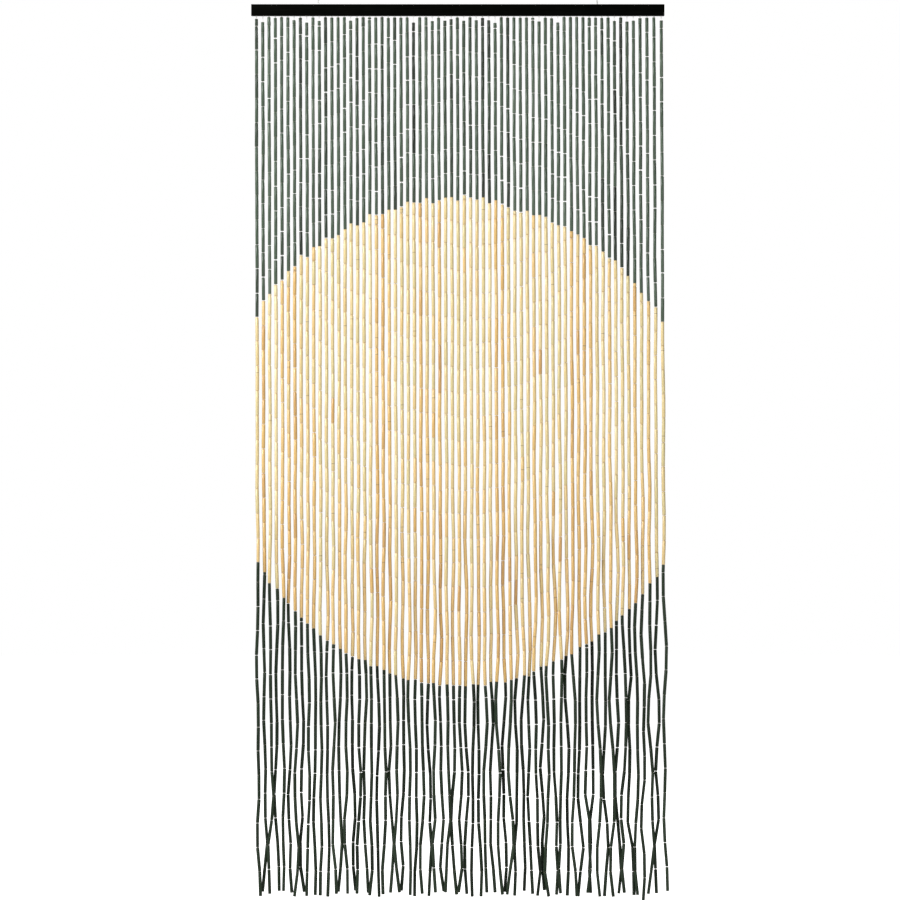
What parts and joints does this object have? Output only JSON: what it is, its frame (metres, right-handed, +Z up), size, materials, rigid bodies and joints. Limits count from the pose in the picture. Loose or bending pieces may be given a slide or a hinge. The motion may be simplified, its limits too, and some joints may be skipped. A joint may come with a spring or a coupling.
{
  "type": "bead curtain with rail",
  "caption": "Doorway bead curtain of bamboo tube beads strung on wire, with a large plain disc of natural beads on a dark ground, hanging from a painted batten rail.",
  "frame": {"origin": "middle of the rail's flat top face", "axes": "+Z up, +X along the rail to the right as seen from the front, -Y towards the viewer"},
  "size_m": [0.9104, 0.016, 1.9753],
  "materials": {
    "black_paint": "wooden batten painted satin black",
    "wire_steel": "bright drawn wire, slightly dulled",
    "dark_bamboo": "bamboo stained green black under thin lacquer",
    "natural_bamboo": "natural straw coloured bamboo skin, satin, with darker rims and specks"
  },
  "bodies": {
    "root": {"rail": "black_paint", "screw_eye_left": "wire_steel", "screw_eye_right": "wire_steel", "bead_strands": "dark_bamboo"}
  },
  "joints": []
}
